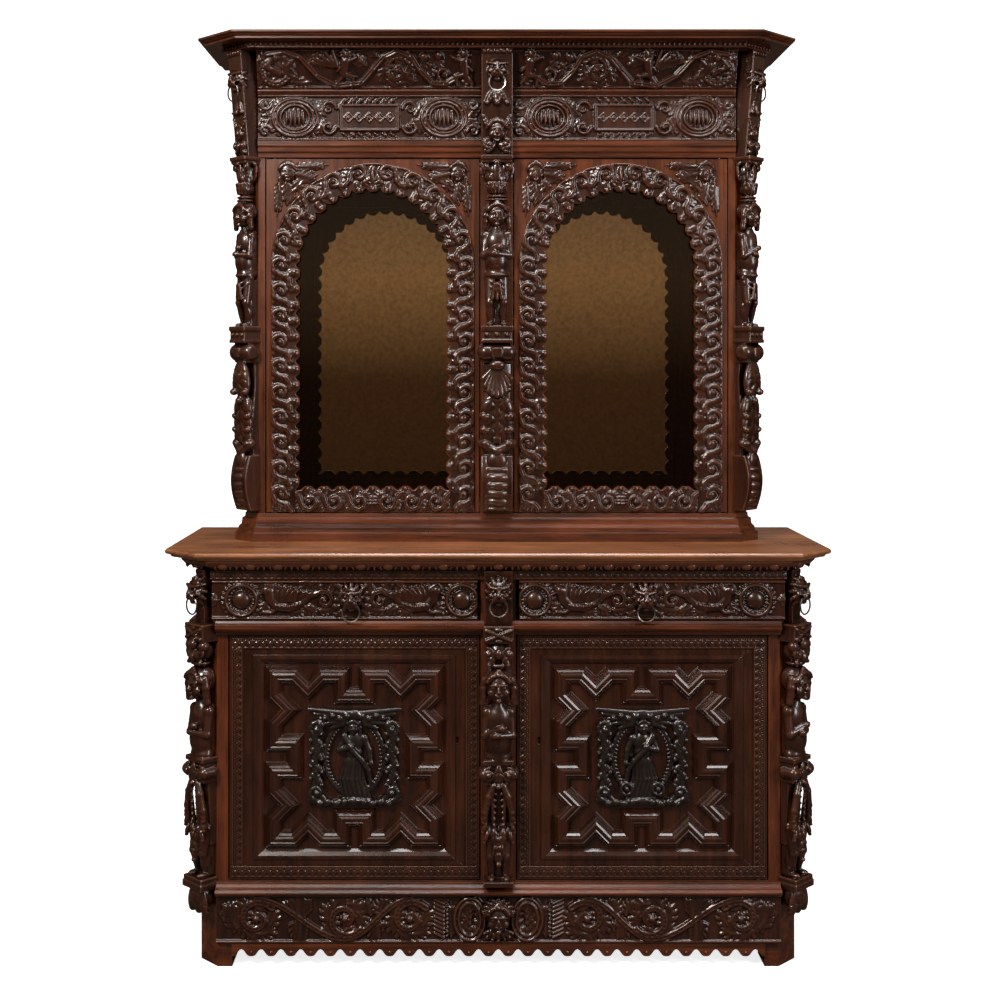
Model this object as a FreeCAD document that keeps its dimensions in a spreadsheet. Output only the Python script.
"""Carved buffet in two bodies, in millimetres.

The origin is the middle of the footprint, on the floor. +Z is up, the doors face -Y and +X is to
the right. The back of both bodies lies in one plane. Left-hand pieces are mirrored from the
right-hand ones across the plane X = 0.
"""

import FreeCAD
import Part
import math
import os
import Sketcher

V = FreeCAD.Vector

# Driving dimensions
SIZES = {
    # Whole buffet, in plan
    "back_reach": 275,
    "running_gap": 0.3,
    "overrun": 5,
    # Plinth and feet
    "foot_tall": 60,
    "foot_wide": 37,
    "foot_deep": 80,
    "back_foot_side": 60,
    "plinth_tall": 116,
    "plinth_reach": 3,
    "plinth_board": 25,
    "frieze_board": 10,
    "apron_tip_tall": 32,
    "apron_root_rise": 16,
    "apron_count": 27,
    # Lower case
    "corner_stile": 27,
    "case_front": 215,
    "case_cant": 45,
    "side_thick": 25,
    "back_thick": 20,
    "base_tall": 27,
    "base_reach": 32,
    "corner_post_deep": 80,
    "post_half": 42,
    "post_deep": 40,
    "waist_tall": 34,
    "waist_reach": 30,
    "rail_deep": 50,
    "strip_tall": 14,
    "fillet_tall": 8,
    "gadroon_tall": 27,
    "gadroon_reach": 45,
    # Counter top
    "counter_side_reach": 85,
    "counter_front": 275,
    "counter_cant": 88,
    "counter_thick": 19,
    "nosing_deep": 30,
    # Lower doors
    "door_gap": 3,
    "lower_door_wide": 595,
    "lower_door_tall": 581,
    "lower_door_thick": 28,
    "stile_wide": 84.5,
    "rail_wide": 70.5,
    "panel_sunk": 8,
    "panel_thick": 10,
    # Star moulding on the lower panels
    "star_side_margin": 0.5,
    "star_top_margin": 3.5,
    "star_notch_room": 7.4,
    "star_side_notch_room": 11.4,
    "star_crest_half": 2,
    "star_bar_tall": 15,
    "star_step_tall": 8,
    # Relief plaque in the star
    "plaque_side_room": 16.5,
    "plaque_top_room": 12.5,
    "plaque_thick": 6,
    "oval_rim": 12,
    "oval_rim_rise": 5,
    "figure_half": 34,
    "figure_rise": 16,
    # Pivot hinges
    "pin_radius": 4,
    "pin_clearance": 0.05,
    "pin_length": 28,
    "pin_edge": 20,
    "lower_pin_depth": 8,
    "upper_pin_depth": 8,
    # Locks
    "lock_edge": 10,
    "lock_wide": 70,
    "lock_tall": 70,
    "lock_thick": 14,
    "lock_rise": 44,
    "bolt_tall": 12,
    "bolt_thick": 8,
    "bolt_cover": 2,
    "bolt_length": 52,
    "bolt_throw": 9,
    "bolt_clearance": 0.4,
    "keyhole_edge": 52,
    "keyhole_radius": 4,
    "keyhole_slot": 12,
    # Drawers
    "drawer_tall": 97,
    "drawer_gap": 1.5,
    "drawer_inner_gap": 8,
    "drawer_lap": 10,
    "drawer_front_thick": 22,
    "drawer_proud": 10,
    "drawer_side": 12,
    "drawer_inset": 2,
    "drawer_back_room": 55,
    "drawer_side_tall": 84,
    "drawer_floor": 6,
    "drawer_floor_rise": 4,
    "drawer_outer_inset": 13,
    "dust_board": 12,
    "dust_rise": 7,
    "divider_half": 12,
    "runner_tall": 19,
    "runner_under": 18,
    "guide_tall": 22,
    "roundel_radius": 34,
    "roundel_rise": 6,
    "roundel_boss": 20,
    "roundel_boss_rise": 12,
    "roundel_inner_side": 36,
    "roundel_outer_side": 70,
    # Lion heads and their drop rings
    "ring_radius": 21,
    "ring_wire": 2.2,
    "snout_half": 9,
    "snout_radius": 9.5,
    "mask_half": 25,
    "mask_tall": 54,
    "mask_under": 16,
    "mask_clear": 4.5,
    "drawer_ring_reach": 27,
    "drawer_ring_rise": 43,
    "lower_ring_reach": 50,
    "lower_ring_drop": 54,
    "lower_block_half": 33,
    "lower_corner_block_half": 17,
    "lower_block_deep": 26,
    "lower_block_hang": 8,
    "upper_ring_reach": 60,
    "upper_ring_drop": 65,
    "upper_corner_ring_drop": 85,
    "upper_block_half": 39,
    "upper_corner_block_half": 23,
    "upper_block_deep": 32,
    "upper_block_lean": 26,
    # Carved figures
    "lower_term_half": 32,
    "lower_term_deep": 54,
    "lower_corner_term_half": 30,
    "corbel_tall": 81,
    "upper_term_half": 38,
    "upper_term_deep": 54,
    "upper_corner_term_half": 24,
    "upper_term_drop_rise": 8,
    # Upper case
    "upper_stile": 17,
    "upper_front": 20,
    "upper_cant": 35,
    "upper_base_tall": 68,
    "upper_base_reach": 27,
    "upper_base_ledge": 22,
    "floor_thick": 20,
    "upper_side_thick": 22,
    "upper_back_thick": 18,
    "upper_post_deep": 65,
    "pilaster_half": 41,
    "pilaster_deep": 40,
    "mirror_thick": 4,
    "mirror_margin": 5,
    # Upper doors
    "upper_door_wide": 536,
    "upper_door_tall": 889,
    "upper_door_thick": 24,
    "pane_side": 73,
    "pane_sill": 55,
    "pane_head": 72,
    "pane_rebate": 8,
    "lip_thick": 10,
    "lobe_reach": 10,
    "sill_lobes": 9,
    "side_lobes": 14,
    "arch_lobes": 17,
    "pane_thick": 4,
    "bead_deep": 4,
    # Entablature and cornice
    "lintel_tall": 41,
    "lintel_reach": 14,
    "ceiling_thick": 18,
    "cartouche_tall": 116,
    "cartouche_board": 8,
    "tablet_half_wide": 72,
    "tablet_half_tall": 31,
    "tablet_rise": 4,
    "oval_boss_radius": 40,
    "oval_boss_from_end": 88,
    "scroll_fillet_tall": 14,
    "scroll_fillet_reach": 14,
    "scroll_tall": 94,
    "scroll_lean": 30,
    "dentil_tall": 15,
    "dentil_side_reach": 55,
    "dentil_front": 80,
    "dentil_cant": 72,
    "cornice_side_reach": 115,
    "cornice_front": 130,
    "cornice_cant": 100,
    "cornice_thick": 18,
}

doc = FreeCAD.newDocument("buffet")
sheet = doc.addObject("Spreadsheet::Sheet", "sizes")
for row, (name, number) in enumerate(SIZES.items(), 1):
    sheet.set(f"A{row}", name)
    sheet.set(f"B{row}", str(number))
    sheet.setAlias(f"B{row}", name)
doc.recompute()


class Size:
    """A length worked out from the sheet, with the formula that ties a feature to it."""

    def __init__(self, formula, value):
        self.formula = formula
        self.value = value

    def __add__(self, other):
        other = as_size(other)
        return Size(f"({self.formula} + {other.formula})", self.value + other.value)

    def __sub__(self, other):
        other = as_size(other)
        return Size(f"({self.formula} - {other.formula})", self.value - other.value)

    def __mul__(self, other):
        other = as_size(other)
        return Size(f"({self.formula} * {other.formula})", self.value * other.value)

    def __truediv__(self, other):
        other = as_size(other)
        return Size(f"({self.formula} / {other.formula})", self.value / other.value)

    def __neg__(self):
        return Size(f"(0 - {self.formula})", -self.value)

    __radd__ = __add__
    __rmul__ = __mul__


def as_size(thing):
    """A plain share or zero as a Size; a Size as it is."""
    if isinstance(thing, Size):
        return thing
    return Size(str(thing), float(thing))


class Sheet:
    """The sheet's cells, by name."""

    def __getattr__(self, name):
        return Size(f"sizes.{name}", float(sheet.get(name)))


k = Sheet()
NODES = []

# Heights of the layers, from the floor up
z_plinth = k.foot_tall
z_base = z_plinth + k.plinth_tall
z_case = z_base + k.base_tall
z_lower_door = z_case + k.door_gap
z_waist = z_lower_door + k.lower_door_tall + k.door_gap
z_drawer = z_waist + k.waist_tall
z_strip = z_drawer + k.drawer_tall
z_gadroon = z_strip + k.strip_tall + k.fillet_tall
z_counter = z_gadroon + k.gadroon_tall
z_upper = z_counter + k.counter_thick
z_floor = z_upper + k.upper_base_tall
z_upper_door = z_floor + k.door_gap
z_lintel = z_upper_door + k.upper_door_tall + k.door_gap
z_cartouche = z_lintel + k.lintel_tall
z_scroll = z_cartouche + k.cartouche_tall
z_dentil = z_scroll + k.scroll_fillet_tall + k.scroll_tall
z_cornice = z_dentil + k.dentil_tall
z_top = z_cornice + k.cornice_thick

# Half widths, from the doors outwards
case_half = k.post_half + k.door_gap * 2 + k.lower_door_wide + k.corner_stile + k.case_cant
upper_half = k.pilaster_half + k.door_gap * 2 + k.upper_door_wide + k.upper_stile + k.upper_cant
counter_half = case_half + k.counter_side_reach
dentil_half = upper_half + k.dentil_side_reach
cornice_half = upper_half + k.cornice_side_reach

# Places shared by several pieces
x_side = case_half - k.side_thick
x_door = k.post_half + k.door_gap
x_corner_post = x_door + k.lower_door_wide + k.door_gap
x_front_corner = case_half - k.case_cant
y_rail_back = k.rail_deep - k.case_front
y_corner_back = k.corner_post_deep - k.case_front
y_lower_back = k.back_reach - k.back_thick
drawer_inner = k.post_half + k.drawer_inner_gap
drawer_outer = x_front_corner + k.drawer_lap
x_upper_door = k.pilaster_half + k.door_gap
x_upper_post = x_upper_door + k.upper_door_wide + k.door_gap
x_upper_side = upper_half - k.upper_side_thick
y_upper_post_back = k.upper_post_deep - k.upper_front
y_upper_back = k.back_reach - k.upper_back_thick
MITRE = 2 - math.sqrt(2)


def keep(thing, node):
    """Name a finished sub-part."""
    thing.Label = node
    NODES.append(thing)
    return thing


def place(thing, x, y, z):
    """Tie a feature's place to the sheet."""
    for axis, size in zip("xyz", (x, y, z)):
        thing.setExpression(f"Placement.Base.{axis}", as_size(size).formula)


def box(x, y, z):
    """A board between two values on each axis."""
    thing = doc.addObject("Part::Box", "board")
    place(thing, x[0], y[0], z[0])
    for name, (low, high) in zip(("Length", "Width", "Height"), (x, y, z)):
        thing.setExpression(name, (high - as_size(low)).formula)
    return thing


def cylinder(radius, length, x, y, z, turn=None):
    """A cylinder from a point, along +Z or turned."""
    thing = doc.addObject("Part::Cylinder", "round")
    thing.setExpression("Radius", radius.formula)
    thing.setExpression("Height", length.formula)
    if turn:
        thing.Placement.Rotation = turn
    place(thing, x, y, z)
    return thing


def mirror(thing):
    """The same piece on the left-hand side."""
    twin = doc.addObject("Part::Mirroring", "mirror")
    twin.Source = thing
    twin.Normal = V(1, 0, 0)
    return twin


def group(things):
    """Several solids as one sub-part."""
    thing = doc.addObject("Part::Compound", "group")
    thing.Links = things
    return thing


def both_sides(*things):
    """Right-hand solids and their mirrored twins."""
    return [*things, *(mirror(thing) for thing in things)]


def cut(base, tools):
    """A piece less its sockets, slots and notches."""
    thing = doc.addObject("Part::Cut", "cut")
    thing.Base = base
    thing.Tool = group(tools) if len(tools) > 1 else tools[0]
    return thing


def fuse(things):
    """Pieces made in one."""
    thing = doc.addObject("Part::MultiFuse", "fuse")
    thing.Shapes = things
    return thing


def draw(sketch, points, closed=True):
    """Straight lines through points, each tied to the sheet."""
    points = [(as_size(x), as_size(y)) for x, y in points]
    count = len(points)
    for i in range(count if closed else count - 1):
        start = points[i]
        end = points[(i + 1) % count]
        ends = [V(x.value, y.value, 0) for x, y in (start, end)]
        sketch.addGeometry(Part.LineSegment(*ends))
    lines = sketch.GeometryCount
    for i in range(lines if closed else lines - 1):
        sketch.addConstraint(Sketcher.Constraint("Coincident", i, 2, (i + 1) % lines, 1))
    for i, point in enumerate(points):
        line, end = (i, 1) if i < lines else (lines - 1, 2)
        for kind, size in zip(("DistanceX", "DistanceY"), point):
            row = sketch.addConstraint(Sketcher.Constraint(kind, -1, 1, line, end, size.value))
            sketch.setExpression(f"Constraints[{row}]", size.formula)


def prism(points, low, high, plane):
    """A body padded from a section on one of its origin planes.

    The pad runs along +Z from the XY plane, along -Y from the XZ plane and along +X from the YZ plane.
    """
    body = doc.addObject("PartDesign::Body", "body")
    sketch = body.newObject("Sketcher::SketchObject", "section")
    planes = {feature.Role: feature for feature in body.Origin.OriginFeatures}
    sketch.AttachmentSupport = (planes[plane], [""])
    sketch.MapMode = "FlatFace"
    sketch.setExpression("AttachmentOffset.Base.z", as_size(low).formula)
    draw(sketch, points)
    pad = body.newObject("PartDesign::Pad", "pad")
    pad.Profile = sketch
    pad.setExpression("Length", (high - as_size(low)).formula)
    return body


def plan(half, front, cant):
    """The outline seen from above: straight back and sides, corners cut at 45 degrees."""
    right = [(half - cant, -front), (half, cant - front), (half, k.back_reach)]
    left = [(-x, y) for x, y in reversed(right)]
    return left + right


def profile(shares, reach, low, tall):
    """A moulding's section: each point is a share of its reach and of its height."""
    return [(reach * out, low + tall * up) for out, up in shares]


def band(section, half, front, cant):
    """A moulding swept round the front and the sides, mitred at the cut corners.

    The section's points are (outwards, up), counted from the plan's outline.
    """
    path = doc.addObject("Sketcher::SketchObject", "path")
    draw(path, plan(half, front, cant), closed=False)
    shape = doc.addObject("Sketcher::SketchObject", "section")
    shape.Placement.Rotation = FreeCAD.Rotation(V(1, 0, 0), 90)
    place(shape, 0, k.back_reach, 0)
    draw(shape, [(-half - out, up) for out, up in section])
    doc.recompute()
    sweep = doc.addObject("Part::Sweep", "band")
    sweep.Sections = [shape]
    sweep.Spine = (path, [f"Edge{i + 1}" for i in range(len(path.Shape.Edges))])
    sweep.Solid = True
    sweep.Transition = "Right corner"
    return sweep


def feature(shape, node="shape"):
    """A shape made with functions of its own."""
    thing = doc.addObject("Part::Feature", node)
    thing.Shape = shape
    return thing


def on_cant(half, front, cant, side=1):
    """Placement of a piece on a 45 degree corner: its own -Y looks out of the corner."""
    middle = V(side * (half - cant / 2).value, (cant / 2 - front).value, 0)
    return FreeCAD.Placement(middle, FreeCAD.Rotation(V(0, 0, 1), side * 45))


def on_front(x, front):
    """Placement of a piece on the front."""
    return FreeCAD.Placement(V(as_size(x).value, -front.value, 0), FreeCAD.Rotation())


def skin(rows, ends=True):
    """A solid covered with triangles between closed rows of points, each row as long as the next."""
    faces = []
    for low, high in zip(rows, rows[1:] if ends else rows[1:] + rows[:1]):
        for i, point in enumerate(low):
            for corners in ((low[i - 1], point, high[i]), (low[i - 1], high[i], high[i - 1])):
                faces.append(Part.Face(Part.makePolygon([*corners, corners[0]])))
    if ends:
        faces += [Part.Face(Part.makePolygon(row + row[:1])) for row in (rows[0], rows[-1])]
    solid = Part.makeSolid(Part.makeShell(faces))
    if solid.Volume < 0:
        solid.reverse()
    return solid


def half_oval(half, deep, height, boxy=0.8, steps=5):
    """A half-oval section, flat at the back, at a height."""
    points = []
    for i in range(steps + 1):
        angle = math.pi * i / steps
        x = math.copysign(abs(math.cos(angle)) ** boxy, math.cos(angle))
        points.append(V(half * x, -deep * math.sin(angle) ** boxy, height))
    return points


def carving(rows, half, deep, low, tall):
    """A carved form in half round. Each row gives a height, a half width and a depth as shares."""
    return skin([half_oval(half.value * wide, deep.value * out, (low + tall * up).value)
                 for up, wide, out in rows])


def raised_oval(half_wide, half_tall, rise, spot, steps=20):
    """A plate that stands out toward -Y from a spot, its edge in flat facets."""
    turns = [2 * math.pi * i / steps for i in range(steps)]
    points = [spot + V(half_wide.value * math.cos(turn), 0, half_tall.value * math.sin(turn))
              for turn in turns]
    return Part.Face(Part.makePolygon(points + points[:1])).extrude(V(0, -rise.value, 0))


# Plinth: corner blocks with their feet, rails between them
def plinth_frame():
    front = k.case_front + k.plinth_reach
    inner = x_front_corner - k.foot_wide
    back = k.foot_deep - front
    corner = [(inner, -front), (x_front_corner - k.plinth_reach, -front),
              (case_half, k.case_cant - k.case_front), (case_half, back), (inner, back)]
    back_inner = case_half - k.back_foot_side
    back_front = k.back_reach - k.back_foot_side
    rise = (z_plinth, z_base)
    return group(
        both_sides(
            prism(corner, 0, z_base, "XY_Plane"),
            box((back_inner, case_half), (back_front, k.back_reach), (0, z_base)),
            box((x_side, case_half), (back, back_front), rise))
        + [box((-inner, inner), (-front, k.plinth_board - front), rise),
           box((-back_inner, back_inner), (k.back_reach - k.plinth_board, k.back_reach), rise)])


keep(plinth_frame(), "plinth_frame")

y_plinth = k.case_front + k.plinth_reach
keep(box((-x_front_corner, x_front_corner), (-y_plinth - k.frieze_board, -y_plinth), (z_plinth, z_base)),
     "plinth_frieze")


SCALLOP_STEPS = 5


def scalloped_apron():
    """A board whose lower edge hangs in points, with an arch in chords from each point to the next."""
    half = (x_front_corner - k.foot_wide).value
    count = round(k.apron_count.value)
    pitch = (half + half) / count
    tip = (k.foot_tall - k.apron_tip_tall).value
    rise = k.apron_root_rise.value
    top = k.foot_tall.value
    front = (-y_plinth - k.frieze_board).value
    points = []
    for i in range(count):
        for step in range(SCALLOP_STEPS):
            turn = math.pi * step / SCALLOP_STEPS
            along = i + (1 - math.cos(turn)) / 2
            points.append(V(-half + along * pitch, front, tip + rise * math.sin(turn)))
    points += [V(half, front, tip), V(half, front, top), V(-half, front, top)]
    face = Part.Face(Part.makePolygon(points + points[:1]))
    return face.extrude(V(0, k.frieze_board.value, 0))


keep(feature(scalloped_apron()), "scalloped_apron")

# Base and waist mouldings: straight runs that stop at the carved corners and the centre
base_shares = [(0, 0), (0.6, 0), (0.95, 0.1), (1, 0.3), (0.85, 0.5), (0.5, 0.6), (0.35, 0.8), (0.3, 1),
               (0, 1)]
waist_shares = [(0, 0), (0.35, 0), (0.45, 0.2), (0.8, 0.3), (1, 0.5), (1, 0.75), (0.7, 0.85), (0.6, 1),
                (0, 1)]


def front_run(section, start, end, face):
    """A moulding along the front, on the plane Y = -face."""
    return prism([(-face - out, up) for out, up in section], start, end, "YZ_Plane")


def side_run(section):
    """A moulding along the right-hand side of the lower case."""
    points = [(case_half + out, up) for out, up in section]
    return prism(points, -k.back_reach, k.case_front - k.case_cant, "XZ_Plane")


base_section = profile(base_shares, k.base_reach, z_base, k.base_tall)
waist_section = profile(waist_shares, k.waist_reach, z_waist, k.waist_tall)
keep(group([front_run(base_section, -x_front_corner, x_front_corner, k.case_front)]
           + both_sides(side_run(base_section), side_run(waist_section),
                        front_run(waist_section, k.lower_block_half + k.running_gap, x_front_corner,
                                  k.case_front))),
     "lower_case_mouldings")

# Door pivots: plain pins that stand half in the case and half in the door
x_lower_pin = x_corner_post - k.door_gap - k.pin_edge
y_lower_pin = k.lower_pin_depth - k.case_front
x_upper_pin = x_upper_post - k.door_gap - k.pin_edge
y_upper_pin = k.upper_pin_depth - k.upper_front


def pin_at(x, y, level, spare=0):
    """A pin centred on the joint between case and door, or the hole for it with something to spare."""
    length = k.pin_length + k.running_gap * 2 if spare else k.pin_length
    return cylinder(k.pin_radius + spare, length, x, y, level - length / 2)


def lower_pin(level, spare=0):
    return pin_at(x_lower_pin, y_lower_pin, level, spare)


def upper_pin(level, spare=0):
    return pin_at(x_upper_pin, y_upper_pin, level, spare)


keep(group(both_sides(lower_pin(z_case), lower_pin(z_waist), upper_pin(z_floor), upper_pin(z_lintel))),
     "door_pivot_pins")

# Lower carcase
keep(cut(prism(plan(case_half, k.case_front, k.case_cant), z_base, z_case, "XY_Plane"),
         both_sides(lower_pin(z_case))), "lower_bottom_board")
keep(group(both_sides(box((x_side, case_half), (y_corner_back, k.back_reach), (z_case, z_counter)))),
     "lower_side_panels")
keep(box((-x_side, x_side), (y_lower_back, k.back_reach), (z_case, z_counter)), "lower_back_panel")


def lower_corner_post():
    """A post with a cut corner, notched where the drawer front laps over it."""
    outline = [(x_corner_post, -k.case_front), (x_front_corner, -k.case_front),
               (case_half, k.case_cant - k.case_front), (case_half, y_corner_back),
               (x_corner_post, y_corner_back)]
    post = prism(outline, z_case, z_counter, "XY_Plane")
    lap = k.drawer_front_thick - k.drawer_proud + k.running_gap
    notch = box((x_corner_post - k.overrun, drawer_outer + k.drawer_gap),
                (-k.case_front - k.overrun, lap - k.case_front), (z_drawer, z_strip))
    return cut(post, [notch])


keep(group(both_sides(lower_corner_post())), "lower_corner_posts")

# Locks: the bolt runs behind the door's stile into a mortise in the centre post
y_door_back = k.lower_door_thick - k.case_front
y_bolt = y_door_back + k.bolt_cover
z_lock = z_lower_door + k.lower_door_tall / 2 + k.lock_rise
bolt_low = z_lock - k.bolt_tall / 2
bolt_high = z_lock + k.bolt_tall / 2


def bolt_slot(x):
    """The room that a bolt needs to slide in, between two values of X."""
    slack = k.bolt_clearance
    return box(x, (y_bolt - slack, y_bolt + k.bolt_thick + slack), (bolt_low - slack, bolt_high + slack))


def lower_centre_post():
    """A post between the doors, with a mortise for each bolt."""
    post = box((-k.post_half, k.post_half), (-k.case_front, k.post_deep - k.case_front), (z_case, z_counter))
    mortise = bolt_slot((k.post_half - k.bolt_throw - k.bolt_clearance, k.post_half + k.overrun))
    return cut(post, both_sides(mortise))


keep(lower_centre_post(), "lower_centre_post")

z_dust = z_waist + k.dust_rise
z_runner = z_dust + k.dust_board
z_runner_top = z_runner + k.runner_tall
z_drawer_box = z_runner_top + k.running_gap
x_box_inner = drawer_inner + k.drawer_inset
x_box_outer = x_corner_post - k.drawer_outer_inset


def drawer_frame():
    """Rails over and under the drawers, dust board, divider and L-shaped runners."""
    rail = (k.post_half, x_corner_post)
    depth = (-k.case_front, y_rail_back)
    inner_guide = x_box_inner - k.running_gap
    inner_edge = x_box_inner + k.runner_under
    outer_guide = x_box_outer + k.running_gap
    outer_edge = x_box_outer - k.runner_under
    guide_top = z_runner_top + k.guide_tall
    inner = [(k.divider_half, z_runner), (inner_edge, z_runner), (inner_edge, z_runner_top),
             (inner_guide, z_runner_top), (inner_guide, guide_top), (k.divider_half, guide_top)]
    outer = [(x_side, z_runner), (x_side, guide_top), (outer_guide, guide_top),
             (outer_guide, z_runner_top), (outer_edge, z_runner_top), (outer_edge, z_runner)]
    run = (-y_lower_back, -y_corner_back)
    dust = box((-x_side, x_side), (y_corner_back, y_lower_back), (z_dust, z_runner))
    divider = box((-k.divider_half, k.divider_half), (y_corner_back, y_lower_back), (z_runner, z_counter))
    return group(
        both_sides(cut(box(rail, depth, (z_waist, z_drawer)), [lower_pin(z_waist)]),
                   box(rail, depth, (z_strip, z_counter)),
                   prism(inner, *run, "XZ_Plane"), prism(outer, *run, "XZ_Plane")) + [dust, divider])


keep(drawer_frame(), "drawer_frame")

# Gadroon moulding with the carved strip under it, and the counter top
gadroon_shares = [(0, 0), (0.2, 0), (0.45, 0.2), (0.8, 0.45), (1, 0.8), (1, 1), (0, 1)]
nosing_shares = [(0, 0), (0.5, 0), (0.6, 0.25), (0.9, 0.4), (1, 0.6), (1, 0.8), (0.9, 1), (0, 1)]
gadroon = band(profile(gadroon_shares, k.gadroon_reach, z_gadroon, k.gadroon_tall),
               case_half, k.case_front, k.case_cant)
strip = box((k.lower_block_half + k.running_gap, drawer_outer),
            (-k.case_front - k.drawer_proud, -k.case_front), (z_strip, z_gadroon))
keep(group([gadroon] + both_sides(strip)), "gadroon_moulding")


def moulded_slab(shares, edge, half, front, cant, low, tall):
    """A slab whose front and side edges carry a moulding: the band round it and the board inside."""
    section = [(out - edge, up) for out, up in profile(shares, edge, low, tall)]
    inset = edge / 2
    board = prism(plan(half - inset, front - inset, cant - inset * MITRE), low, low + tall, "XY_Plane")
    return fuse([board, band(section, half, front, cant)])


keep(moulded_slab(nosing_shares, k.nosing_deep, counter_half, k.counter_front, k.counter_cant, z_counter,
                  k.counter_thick), "countertop")


# Upper case
def upper_base():
    """A stepped moulding with a ledge inside that the floor board lies on."""
    ledge = z_floor - k.floor_thick
    steps = base_steps_shares
    section = profile(steps, k.upper_base_reach, z_upper, k.upper_base_tall)
    inner = [(0, ledge), (-k.upper_base_ledge, ledge), (-k.upper_base_ledge, z_upper)]
    return band(section + inner, upper_half, k.upper_front, k.upper_cant)


base_steps_shares = [(1, 0), (1, 0.3), (0.75, 0.33), (0.72, 0.5), (0.45, 0.6), (0.4, 0.8), (0.15, 0.85),
                     (0.1, 1), (0, 1)]
keep(upper_base(), "upper_base_moulding")
floor_board = cut(prism(plan(upper_half, k.upper_front, k.upper_cant), z_floor - k.floor_thick, z_floor,
                        "XY_Plane"), both_sides(upper_pin(z_floor)))
ceiling_board = box((-x_upper_side, x_upper_side), (y_upper_post_back, y_upper_back),
                    (z_lintel, z_lintel + k.ceiling_thick))
keep(group([floor_board, ceiling_board]), "upper_floor_and_ceiling")
keep(group(both_sides(box((x_upper_side, upper_half), (y_upper_post_back, k.back_reach),
                          (z_floor, z_dentil)))), "upper_side_panels")
keep(box((-x_upper_side, x_upper_side), (y_upper_back, k.back_reach), (z_floor, z_dentil)),
     "upper_back_panel")
mirror_edge = k.mirror_margin
keep(group(both_sides(box((mirror_edge, x_upper_side - mirror_edge),
                          (y_upper_back - k.mirror_thick, y_upper_back),
                          (z_floor, z_lintel - mirror_edge)))), "back_mirrors")

upper_corner = [(x_upper_post, -k.upper_front), (upper_half - k.upper_cant, -k.upper_front),
                (upper_half, k.upper_cant - k.upper_front), (upper_half, y_upper_post_back),
                (x_upper_post, y_upper_post_back)]
keep(group(both_sides(prism(upper_corner, z_floor, z_dentil, "XY_Plane"))), "upper_corner_posts")
keep(box((-k.pilaster_half, k.pilaster_half), (-k.upper_front, k.pilaster_deep - k.upper_front),
         (z_floor, z_dentil)), "upper_centre_pilaster")

# Entablature
lintel_shares = [(0, 0), (0.3, 0), (0.35, 0.25), (0.7, 0.35), (0.75, 0.6), (1, 0.7), (1, 1), (0, 1)]


def lintel():
    """The rail over a door with its moulding, which runs on over the corner post."""
    section = profile(lintel_shares, k.lintel_reach, z_lintel, k.lintel_tall)
    start = k.upper_block_half + k.running_gap
    mould = front_run(section, start, upper_half - k.upper_cant, k.upper_front)
    rail = box((k.pilaster_half, x_upper_post), (-k.upper_front, k.pilaster_deep - k.upper_front),
               (z_lintel, z_cartouche))
    return cut(fuse([mould, rail]), [upper_pin(z_lintel)])


keep(group(both_sides(lintel())), "lintel_moulding")


def cartouche_frieze():
    """A board with a plain tablet in the middle and a round boss toward each end."""
    start = k.upper_block_half + k.running_gap
    end = upper_half - k.upper_cant
    face = -k.upper_front - k.cartouche_board
    middle = (start + end) / 2
    rise = (face - k.tablet_rise, face)
    board = box((start, end), (face, -k.upper_front), (z_cartouche, z_scroll))
    centre = z_cartouche + k.cartouche_tall / 2
    tablet = box((middle - k.tablet_half_wide, middle + k.tablet_half_wide), rise,
                 (centre - k.tablet_half_tall, centre + k.tablet_half_tall))
    bosses = [feature(raised_oval(k.oval_boss_radius, k.oval_boss_radius, k.tablet_rise,
                                  V(x.value, face.value, centre.value)))
              for x in (start + k.oval_boss_from_end, end - k.oval_boss_from_end)]
    return fuse([board, tablet] + bosses)


keep(group(both_sides(cartouche_frieze())), "cartouche_frieze")


def scroll_frieze():
    """A board that leans forward over a small fillet."""
    fillet = k.scroll_fillet_reach
    foot = z_scroll + k.scroll_fillet_tall
    section = [(0, z_scroll), (fillet, z_scroll), (fillet, foot - k.cartouche_board / 2),
               (k.cartouche_board, foot), (k.cartouche_board + k.scroll_lean, z_dentil), (0, z_dentil)]
    return front_run(section, k.upper_block_half + k.running_gap, upper_half - k.upper_cant, k.upper_front)


keep(group(both_sides(scroll_frieze())), "scroll_frieze")

cornice_shares = [(0, 0), (0.2, 0), (0.35, 0.25), (0.7, 0.4), (0.8, 0.6), (1, 0.7), (1, 1), (0, 1)]
cornice_slab = moulded_slab(cornice_shares, k.nosing_deep, cornice_half, k.cornice_front, k.cornice_cant,
                            z_cornice, k.cornice_thick)
dentil_slab = prism(plan(dentil_half, k.dentil_front, k.dentil_cant), z_dentil, z_cornice, "XY_Plane")
keep(fuse([cornice_slab, dentil_slab]), "cornice")

# Drop rings, and the lion heads that hold them
RING_STEPS = 16
WIRE_STEPS = 5
SNOUT_STEPS = 12


def ring_bore():
    """The bore that lets the curved wire pass through the straight snout and turn in it."""
    half = k.snout_half.value
    radius = k.ring_radius.value
    fall = radius - math.sqrt(radius ** 2 - half ** 2)
    slant = math.sqrt(radius ** 2 - half ** 2) / radius
    return fall + k.ring_wire.value / slant + k.running_gap.value


# A lion's mask from under the chin to the ears
mask_shares = [(0, 0.4, 0.3), (0.12, 0.7, 0.6), (0.35, 0.95, 0.75), (0.55, 1, 0.85), (0.74, 0.9, 1),
               (0.84, 0.95, 0.8), (0.93, 0.85, 0.65), (1, 0.35, 0.4)]


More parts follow.
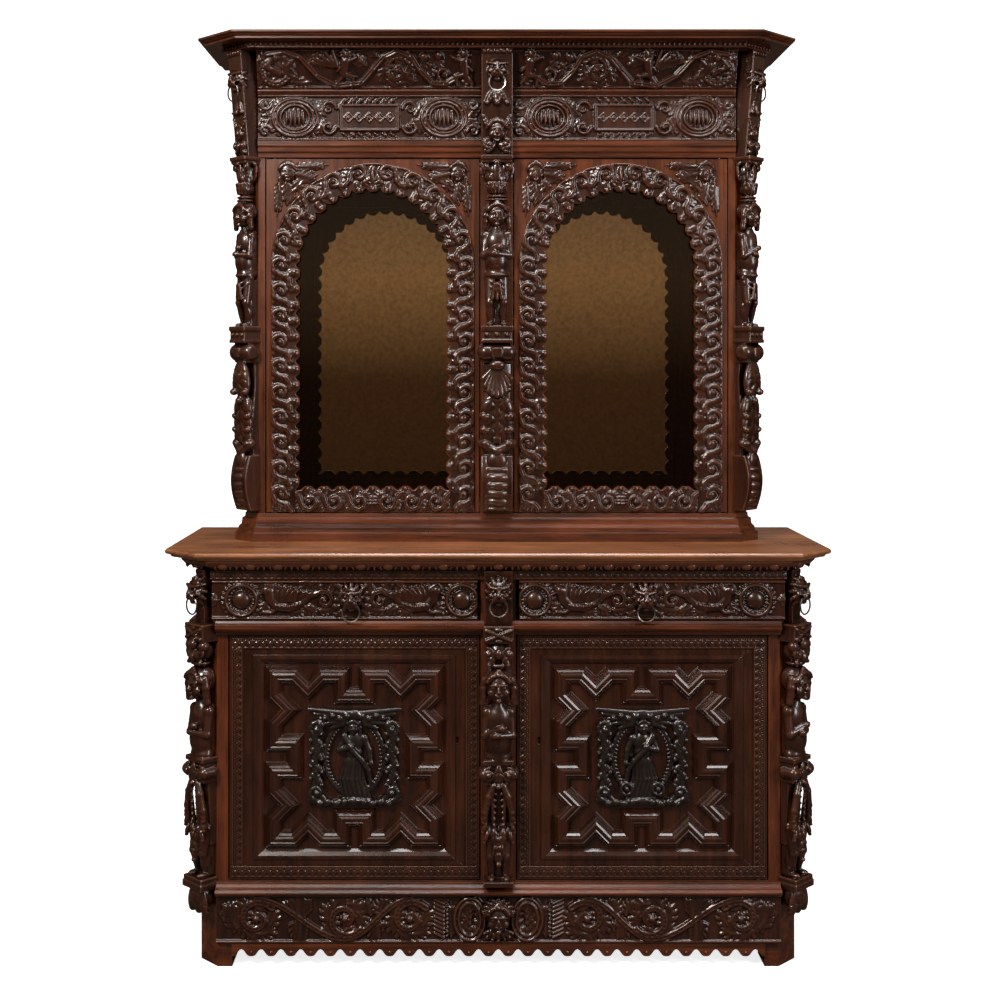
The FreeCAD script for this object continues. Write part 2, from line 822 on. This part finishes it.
def lion_head(behind):
    """A head that looks along -Y. Its origin is the ring's pivot, its carrier is `behind` it in +Y."""
    half = k.snout_half.value
    radius = k.snout_radius.value
    across = V(1, 0, 0)
    mask = carving(mask_shares, k.mask_half, behind - k.mask_clear, -k.mask_under, k.mask_tall)
    mask.translate(V(0, behind.value, 0))
    spots = [2 * math.pi * i / SNOUT_STEPS for i in range(SNOUT_STEPS)]
    side = [V(-half, radius * math.cos(spot), radius * math.sin(spot)) for spot in spots]
    snout = Part.Face(Part.makePolygon(side + side[:1])).extrude(across * (half + half))
    neck = Part.makeBox(half + half, behind.value, radius + radius, V(-half, 0, -radius))
    end = half + k.overrun.value
    bore = Part.makeCylinder(ring_bore(), end + end, V(-end, 0, 0), across)
    return mask.multiFuse([snout, neck]).cut(bore)


def moved(shape, placement):
    """A shape carried to its place."""
    twin = shape.copy()
    twin.Placement = placement
    return twin


def pivot(placement, reach, rise):
    """Where a ring turns: out from the carrier's face, at a height."""
    return placement.multiply(FreeCAD.Placement(V(0, -reach.value, rise.value), FreeCAD.Rotation()))


def ring(node, at):
    """A drop ring hanging from its pivot. Its wire has flat facets, because eight rings repeat it."""
    wire = k.ring_wire.value
    radius = k.ring_radius.value
    rows = []
    for i in range(RING_STEPS):
        turn = FreeCAD.Rotation(V(0, 1, 0), 360 * i / RING_STEPS)
        spots = [2 * math.pi * j / WIRE_STEPS for j in range(WIRE_STEPS)]
        rows.append([turn.multVec(V(radius + wire * math.cos(spot), wire * math.sin(spot), 0))
                     - V(0, 0, radius) for spot in spots])
    keep(feature(moved(skin(rows, ends=False), at)), node)
    print("pivot", node, tuple(round(value, 3) for value in at.Base))


def block_with_head(half, placement, ring_rise, low, high, deep, lean, reach):
    """A block on the case's face, leaning forward toward its top, with a lion head."""
    size = half.value
    section = [V(-size, 0, low.value), V(-size, -deep.value, low.value),
               V(-size, -deep.value - as_size(lean).value, high.value), V(-size, 0, high.value)]
    block = Part.Face(Part.makePolygon(section + section[:1])).extrude(V(size + size, 0, 0))
    behind = reach - deep
    head = lion_head(behind + k.overrun)
    head.translate(V(0, -reach.value, ring_rise.value))
    return moved(block.fuse(head).removeSplitter(), placement)


z_lower_ring = z_strip + k.strip_tall - k.lower_ring_drop
z_upper_ring = z_dentil - k.upper_ring_drop
z_upper_corner_ring = z_dentil - k.upper_corner_ring_drop
lower_block_low = z_waist + k.waist_tall - k.lower_block_hang


def lion_blocks(halves, places, rises, *shape):
    """The centre block, then the right and left corner blocks."""
    blocks = [block_with_head(half, spot, rise, *shape) for half, spot, rise in zip(halves, places, rises)]
    return feature(Part.makeCompound(blocks))


def corners(half, front, cant):
    """Placements of the centre and the two corners of a case."""
    return [on_front(0, front), on_cant(half, front, cant), on_cant(half, front, cant, -1)]


lower_places = corners(case_half, k.case_front, k.case_cant)
upper_places = corners(upper_half, k.upper_front, k.upper_cant)
lower_rises = [z_lower_ring] * 3
upper_rises = [z_upper_ring, z_upper_corner_ring, z_upper_corner_ring]
lower_halves = [k.lower_block_half, k.lower_corner_block_half, k.lower_corner_block_half]
upper_halves = [k.upper_block_half, k.upper_corner_block_half, k.upper_corner_block_half]
keep(lion_blocks(lower_halves, lower_places, lower_rises, lower_block_low, z_gadroon,
                 k.lower_block_deep, 0, k.lower_ring_reach), "lower_lion_blocks")
keep(lion_blocks(upper_halves, upper_places, upper_rises, z_lintel, z_dentil,
                 k.upper_block_deep, k.upper_block_lean, k.upper_ring_reach), "entablature_blocks")
for level, places, reach, rises in (("lower", lower_places, k.lower_ring_reach, lower_rises),
                                    ("upper", upper_places, k.upper_ring_reach, upper_rises)):
    for name, spot, rise in zip(("centre", "right_corner", "left_corner"), places, rises):
        ring(f"{level}_{name}_ring", pivot(spot, reach, rise))

# Drawers
y_drawer_face = -k.case_front - k.drawer_proud
y_drawer_back = y_drawer_face + k.drawer_front_thick
drawer_deep = y_lower_back - k.drawer_back_room - y_drawer_back
x_roundels = (drawer_inner + k.roundel_inner_side, drawer_outer - k.roundel_outer_side)
x_drawer_head = (x_roundels[0] + x_roundels[1]) / 2
z_drawer_low = z_drawer + k.drawer_gap
z_drawer_high = z_strip - k.drawer_gap
z_drawer_ring = z_drawer + k.drawer_ring_rise


def drawer_front():
    """The front board with a roundel toward each end and a lion head between them."""
    board = Part.makeBox((drawer_outer - drawer_inner).value, k.drawer_front_thick.value,
                         (z_drawer_high - z_drawer_low).value,
                         V(drawer_inner.value, y_drawer_face.value, z_drawer_low.value))
    head = lion_head(k.drawer_ring_reach + k.overrun)
    head.translate(V(x_drawer_head.value, (y_drawer_face - k.drawer_ring_reach).value, z_drawer_ring.value))
    middle = ((z_drawer_low + z_drawer_high) / 2).value
    rounds = []
    for x in x_roundels:
        spot = V(x.value, y_drawer_face.value, middle)
        rounds.append(raised_oval(k.roundel_radius, k.roundel_radius, k.roundel_rise, spot))
        rounds.append(raised_oval(k.roundel_boss, k.roundel_boss, k.roundel_boss_rise, spot))
    return feature(board.multiFuse([head] + rounds).removeSplitter())


def drawer_box():
    """Sides, back and bottom behind the front."""
    tall = (z_drawer_box, z_drawer_box + k.drawer_side_tall)
    deep = (y_drawer_back, y_drawer_back + drawer_deep)
    inner = x_box_inner + k.drawer_side
    outer = x_box_outer - k.drawer_side
    floor = z_drawer_box + k.drawer_floor_rise
    return group([box((x_box_inner, inner), deep, tall), box((outer, x_box_outer), deep, tall),
                  box((inner, outer), (deep[1] - k.drawer_side, deep[1]), tall),
                  box((inner, outer), (deep[0], deep[1] - k.drawer_side), (floor, floor + k.drawer_floor))])


right_front = keep(drawer_front(), "right_drawer_front")
keep(mirror(right_front), "left_drawer_front")
right_box = keep(drawer_box(), "right_drawer_box")
keep(mirror(right_box), "left_drawer_box")
for side, x in (("right", x_drawer_head), ("left", -x_drawer_head)):
    ring(f"{side}_drawer_ring", pivot(on_front(x, -y_drawer_face), k.drawer_ring_reach, z_drawer_ring))

# Lower doors
x_lower_middle = x_door + k.lower_door_wide / 2
z_lower_middle = z_lower_door + k.lower_door_tall / 2
# Across the frame from its outer edge (share of its width), and down from the face (share of the sinking)
frame_shares = [(0, 0), (0.4, 0), (0.42, 0.4), (0.66, 0.4), (0.68, -0.2), (0.8, -0.3), (0.92, 0.3), (1, 1)]


def corner_section(sign_x, sign_z):
    """The frame's section in the mitre at one corner of the door."""
    points = []
    for across, down in frame_shares:
        x = k.lower_door_wide / 2 - k.stile_wide * across
        z = k.lower_door_tall / 2 - k.rail_wide * across
        points.append(V(sign_x * x.value, (k.panel_sunk * down - k.case_front).value, sign_z * z.value))
    for across in (1, 0):
        x = k.lower_door_wide / 2 - k.stile_wide * across
        z = k.lower_door_tall / 2 - k.rail_wide * across
        points.append(V(sign_x * x.value, y_door_back.value, sign_z * z.value))
    return points


def bar_between(start, end):
    """A solid bar between two sections with as many points, whose sides are flat."""
    faces = [Part.Face(Part.makePolygon(ends + ends[:1])) for ends in (start, end)]
    for i, here in enumerate(start):
        faces.append(Part.Face(Part.makePolygon([start[i - 1], here, end[i], end[i - 1], start[i - 1]])))
    bar = Part.makeSolid(Part.makeShell(faces))
    if bar.Volume < 0:
        bar.reverse()
    return bar


KEYHOLE_STEPS = 12


def lower_door_frame():
    """Two stiles and two rails with one moulded section, mitred at the corners."""
    signs = [(-1, -1), (1, -1), (1, 1), (-1, 1)]
    middle = V(x_lower_middle.value, 0, z_lower_middle.value)
    sides = []
    for i in range(4):
        side = bar_between(corner_section(*signs[i]), corner_section(*signs[(i + 1) % 4]))
        side.translate(middle)
        sides.append(feature(side))
    keyhole_x = x_door + k.keyhole_edge
    through = k.lower_door_thick + k.overrun * 2
    spot = V(keyhole_x.value, (y_door_back + k.overrun).value, z_lock.value)
    keyhole = feature(raised_oval(k.keyhole_radius, k.keyhole_radius, through, spot, KEYHOLE_STEPS))
    slot = box((keyhole_x - k.keyhole_radius / 2, keyhole_x + k.keyhole_radius / 2),
               (-k.case_front - k.overrun, y_door_back + k.overrun), (z_lock - k.keyhole_slot, z_lock))
    sockets = [lower_pin(z_case, k.pin_clearance), lower_pin(z_waist, k.pin_clearance)]
    return cut(group(sides), [keyhole, slot] + sockets)


# Half a side of the star beyond its notch has two lands and two slopes of a vee
star_land_share = 0.292
star_vee_share = 0.208
star_notch_share = 0.298
# Half the bar's width as a share of half the panel's width and height together, and its step within it
star_bar_share = 0.0508
star_step_share = 0.64
panel_half_wide = k.lower_door_wide / 2 - k.stile_wide
panel_half_tall = k.lower_door_tall / 2 - k.rail_wide
star_bar_half = (panel_half_wide + panel_half_tall) * star_bar_share
star_half = panel_half_wide - k.star_side_margin - star_bar_half
star_tall = panel_half_tall - k.star_top_margin - star_bar_half
top_notch = star_bar_half + k.star_notch_room
side_notch = star_bar_half + k.star_side_notch_room
star_across = star_half - top_notch
star_up = star_tall - side_notch


def star_outline():
    """One quarter of the star's crest, from the notch over the top to the notch at the side."""
    half, tall, across, up = star_half, star_tall, star_across, star_up
    top = [(top_notch, tall - up * star_notch_share), (top_notch, tall),
           (top_notch + across * star_land_share, tall),
           (half - across * (star_land_share + star_vee_share), tall - up * star_vee_share),
           (half - across * star_land_share, tall), (half, tall)]
    side = [(half, tall - up * star_land_share),
            (half - across * star_vee_share, tall - up * (star_land_share + star_vee_share)),
            (half, side_notch + up * star_land_share),
            (half, side_notch), (half - across * star_notch_share, side_notch)]
    return [(x.value, z.value) for x, z in top + side]


def mirrored_round(quarter):
    """A closed outline from its first quarter."""
    right = quarter + [(x, -z) for x, z in reversed(quarter)]
    return right + [(-x, z) for x, z in reversed(right)]


def offset(points, distance):
    """A closed outline moved inwards, with mitred corners."""
    moved_points = []
    count = len(points)
    for i in range(count):
        before, here, after = points[i - 1], points[i], points[(i + 1) % count]
        first = math.atan2(here[1] - before[1], here[0] - before[0])
        second = math.atan2(after[1] - here[1], after[0] - here[0])
        half_turn = ((second - first + math.pi) % (2 * math.pi) - math.pi) / 2
        middle = first + half_turn
        length = distance / math.cos(half_turn)
        moved_points.append((here[0] + length * math.sin(middle), here[1] - length * math.cos(middle)))
    return moved_points


def star_moulding():
    """One mitred bar with a narrow crest and a step on each slope, bent into a star."""
    outline = mirrored_round(star_outline())
    ground = (k.panel_sunk - k.case_front).value
    step = star_bar_half * star_step_share
    bar = [(-star_bar_half, 0), (-step, k.star_step_tall), (-k.star_crest_half, k.star_bar_tall),
           (k.star_crest_half, k.star_bar_tall), (step, k.star_step_tall), (star_bar_half, 0)]
    rows = []
    for across, rise in bar:
        flat = offset(outline, as_size(across).value)
        rows.append([V(x, ground - as_size(rise).value, z) for x, z in flat])
    faces = []
    count = len(outline)
    for low, high in zip(rows, rows[1:]):
        for i in range(count):
            j = (i + 1) % count
            faces.append(Part.Face(Part.makePolygon([low[i], low[j], high[j], high[i], low[i]])))
    outer, inner = (Part.Face(Part.makePolygon(row + row[:1])) for row in (rows[0], rows[-1]))
    faces += outer.cut(inner).Faces
    star = Part.makeSolid(Part.makeShell(faces))
    star.translate(V(x_lower_middle.value, 0, z_lower_middle.value))
    return feature(star)


OVAL_STEPS = 24
# The plaque fits between the star's notches. A quarter of its outline runs from the top to the side
plaque_shares = [(0.3, 0.97), (0.75, 1), (1, 0.95), (0.9, 0.8), (1, 0.55), (0.93, 0.2)]
oval_wide_share = 0.78
oval_tall_share = 0.87
figure_share = 1.7
plaque_half_wide = star_half - star_across * star_notch_share - star_bar_half - k.plaque_side_room
plaque_half_tall = star_tall - star_up * star_notch_share - star_bar_half - k.plaque_top_room
# A standing figure's half width and rise, each with its height as a share
figure_shares = [(0, 0.5, 0.5), (0.04, 0.75, 0.7), (0.3, 0.6, 0.7), (0.5, 0.85, 0.9), (0.62, 0.7, 0.85),
                 (0.78, 1, 1), (0.83, 0.4, 0.7), (0.86, 0.5, 0.9), (0.95, 0.5, 0.9), (1, 0.2, 0.4)]


def relief():
    """A strapwork plaque with a raised oval rim and a standing figure in it."""
    ground = (k.panel_sunk - k.case_front).value
    middle = V(x_lower_middle.value, ground, z_lower_middle.value)
    quarter = [((plaque_half_wide * out).value, (plaque_half_tall * up).value) for out, up in plaque_shares]
    corners = [V(x, 0, z) for x, z in mirrored_round(quarter)]
    plate = Part.Face(Part.makePolygon(corners + corners[:1])).extrude(V(0, -k.plaque_thick.value, 0))
    wide, tall = plaque_half_wide * oval_wide_share, plaque_half_tall * oval_tall_share
    rim_rise = k.plaque_thick + k.oval_rim_rise
    rim = raised_oval(wide, tall, rim_rise, V(), OVAL_STEPS)
    hollow = raised_oval(wide - k.oval_rim, tall - k.oval_rim, rim_rise, V(), OVAL_STEPS)
    figure_tall = plaque_half_tall * figure_share
    figure = carving(figure_shares, k.figure_half, k.figure_rise, -figure_tall / 2, figure_tall)
    whole = plate.multiFuse([rim.cut(hollow), figure]).removeSplitter()
    whole.translate(middle)
    return feature(whole)


def lock_case():
    """A case on the back of the free stile, with a slot for the bolt."""
    edge = x_door + k.lock_edge
    half = k.lock_tall / 2
    case = box((edge, edge + k.lock_wide), (y_door_back, y_door_back + k.lock_thick),
               (z_lock - half, z_lock + half))
    return cut(case, [bolt_slot((edge - k.overrun, x_door + k.bolt_length + k.bolt_clearance))])


def lock_bolt():
    """A bar that lies behind the stile, its nose level with the door's edge."""
    return box((x_door + k.bolt_clearance, x_door + k.bolt_length), (y_bolt, y_bolt + k.bolt_thick),
               (bolt_low, bolt_high))


def ground_panel():
    """The sunk board inside the frame."""
    face = k.panel_sunk - k.case_front
    return box((x_lower_middle - panel_half_wide, x_lower_middle + panel_half_wide),
               (face, face + k.panel_thick),
               (z_lower_middle - panel_half_tall, z_lower_middle + panel_half_tall))


for make, name in ((lower_door_frame, "door_frame"), (ground_panel, "door_panel"),
                   (star_moulding, "star_moulding"), (relief, "door_relief"),
                   (lock_case, "lock_case"), (lock_bolt, "lock_bolt")):
    right = keep(make(), f"lower_right_{name}")
    keep(mirror(right), f"lower_left_{name}")

# Upper doors
pane_half = k.upper_door_wide / 2 - k.pane_side
pane_straight = k.upper_door_tall - k.pane_sill - k.pane_head - pane_half
z_sill = z_upper_door + k.pane_sill
z_spring = z_sill + pane_straight
z_crown = z_spring + pane_half
x_upper_middle = x_upper_door + k.upper_door_wide / 2
y_upper_door_back = k.upper_door_thick - k.upper_front
y_pane = y_upper_door_back - k.bead_deep - k.pane_thick


# Along one lobe of the opening's edge, and how far it stands into the opening
lobe_shares = [(0, 0), (0.3, 1), (0.7, 1)]


def lobed_edge(count, at):
    """Points along a lobed stretch. `at` gives a point from its share of the way and how far it stands in."""
    lobes = round(count.value)
    return [at((i + along) / lobes, out * k.lobe_reach.value) for i in range(lobes)
            for along, out in lobe_shares]


def lobed_opening():
    """The opening in the frame's face: over the sill, up a side, round the arch and down again."""
    half, straight = pane_half.value, pane_straight.value
    sill_half = half - k.lobe_reach.value
    points = (
        lobed_edge(k.sill_lobes, lambda way, out: V((way + way - 1) * sill_half, 0, out - straight))
        + [V(sill_half, 0, -straight)]
        + lobed_edge(k.side_lobes, lambda way, out: V(half - out, 0, (way - 1) * straight))
        + lobed_edge(k.arch_lobes, lambda way, out: V(math.cos(math.pi * way), 0, math.sin(math.pi * way))
                     * (half - out))
        + lobed_edge(k.side_lobes, lambda way, out: V(out - half, 0, -way * straight))
        + [V(-half, 0, -straight)])
    opening = Part.Face(Part.makePolygon(points + points[:1]))
    opening.translate(V(x_upper_middle.value, (-k.upper_front - k.overrun).value, z_spring.value))
    return feature(opening.extrude(V(0, (k.upper_door_thick + k.overrun * 2).value, 0)))


def upper_door_frame():
    """Two stiles, a sill rail and a head. The opening has lobes in front and a rebate for the pane."""
    deep = (-k.upper_front, y_upper_door_back)
    behind = (k.lip_thick - k.upper_front, y_upper_door_back + k.overrun)
    tall = (z_upper_door, z_upper_door + k.upper_door_tall)
    left = x_upper_middle - pane_half
    right = x_upper_middle + pane_half
    joints = (left + k.lobe_reach, right - k.lobe_reach)
    turn = FreeCAD.Rotation(V(1, 0, 0), 90)
    arch = cylinder(pane_half, behind[1] - behind[0], x_upper_middle, behind[1], z_spring, turn)
    straight = box((left, right), behind, (z_sill, z_spring))
    boards = [box((x_upper_door, joints[0]), deep, tall),
              box((joints[1], x_upper_door + k.upper_door_wide), deep, tall),
              box(joints, deep, (z_upper_door, z_sill + k.lobe_reach)),
              box(joints, deep, (z_spring, tall[1]))]
    rebate = box((left - k.pane_rebate, right + k.pane_rebate), (y_pane, y_upper_door_back + k.overrun),
                 (z_sill - k.pane_rebate, z_crown + k.pane_rebate))
    sockets = [upper_pin(z_floor, k.pin_clearance), upper_pin(z_lintel, k.pin_clearance)]
    return cut(group(boards), [lobed_opening(), straight, arch, rebate] + sockets)


def pane():
    """The glass in its rebate."""
    half = pane_half + k.pane_rebate
    return box((x_upper_middle - half, x_upper_middle + half), (y_pane, y_pane + k.pane_thick),
               (z_sill - k.pane_rebate, z_crown + k.pane_rebate))


for make, name in ((upper_door_frame, "door_frame"), (pane, "door_glass")):
    right = keep(make(), f"upper_right_{name}")
    keep(mirror(right), f"upper_left_{name}")

# Carved figures: height, half width and depth as shares, from the foot up
lower_term_shares = [
    (0, 0.9, 0.75), (0.05, 0.95, 0.8), (0.06, 0.55, 0.5), (0.2, 0.6, 0.6), (0.27, 0.85, 0.8),
    (0.36, 0.7, 0.7), (0.42, 0.85, 0.8), (0.425, 1, 0.95), (0.5, 1, 1), (0.53, 0.72, 0.72),
    (0.6, 0.72, 0.75), (0.68, 0.9, 0.85), (0.73, 0.8, 0.7), (0.745, 0.35, 0.5),
    (0.8, 0.55, 0.8), (0.87, 0.5, 0.75), (0.89, 0.4, 0.6), (0.895, 0.85, 0.9),
    (0.96, 1, 0.95), (1, 0.9, 0.8)]
upper_term_shares = [
    (0, 0.5, 0.3), (0.02, 0.75, 0.85), (0.08, 0.85, 1), (0.14, 0.8, 0.75),
    (0.18, 0.85, 0.6), (0.19, 0.55, 0.45), (0.26, 0.75, 0.55), (0.33, 0.85, 0.65),
    (0.42, 0.9, 0.9), (0.47, 0.85, 1), (0.473, 1, 0.9), (0.515, 1, 0.9),
    (0.518, 0.55, 0.6), (0.6, 0.6, 0.55), (0.665, 0.7, 0.65), (0.72, 0.55, 0.55), (0.775, 0.85, 0.7),
    (0.79, 0.7, 0.6), (0.795, 0.3, 0.5), (0.83, 0.45, 0.75), (0.865, 0.4, 0.65),
    (0.875, 0.35, 0.55), (0.9, 0.6, 0.75), (0.93, 0.5, 0.6), (0.933, 0.75, 0.75), (1, 1, 1)]
corbel_shares = [(0, 0.4, 0.2), (0.25, 0.6, 0.6), (0.6, 0.9, 0.9), (1, 1, 1)]

lower_top = lower_block_low
upper_low = z_floor + k.upper_term_drop_rise
centre_term = carving(lower_term_shares, k.lower_term_half, k.lower_term_deep, z_case, lower_top - z_case)
keep(feature(moved(centre_term, lower_places[0])), "lower_centre_caryatid")
corner_term = carving(lower_term_shares, k.lower_corner_term_half, k.lower_term_deep, z_case,
                      lower_top - z_case)
corbel = carving(corbel_shares, k.lower_corner_term_half, k.lower_term_deep, z_case - k.corbel_tall,
                 k.corbel_tall)
corner_term = corner_term.fuse(corbel).removeSplitter()
for side, spot in zip(("right", "left"), lower_places[1:]):
    keep(feature(moved(corner_term, spot)), f"lower_{side}_caryatid")
for name, half, spot in zip(("centre", "right", "left"),
                            (k.upper_term_half, k.upper_corner_term_half, k.upper_corner_term_half),
                            upper_places):
    term = carving(upper_term_shares, half, k.upper_term_deep, upper_low, z_lintel - upper_low)
    keep(feature(moved(term, spot)), f"upper_{name}_caryatid")

doc.recompute()
for thing in doc.Objects:
    bad = [word for word in thing.State if word in ("Invalid", "Error")]
    if bad:
        raise RuntimeError(f"{thing.Name} ({thing.Label}) is {bad}")
for node in NODES:
    if node.Shape.isNull() or not node.Shape.isValid() or not node.Shape.Solids:
        raise RuntimeError(f"{node.Label} has no valid solid")

os.makedirs("parts", exist_ok=True)
for node in NODES:
    node.Shape.exportStep(f"parts/{node.Label}.step")
whole = FreeCAD.BoundBox()
for node in NODES:
    whole.add(node.Shape.BoundBox)
print(len(NODES), "nodes", whole)
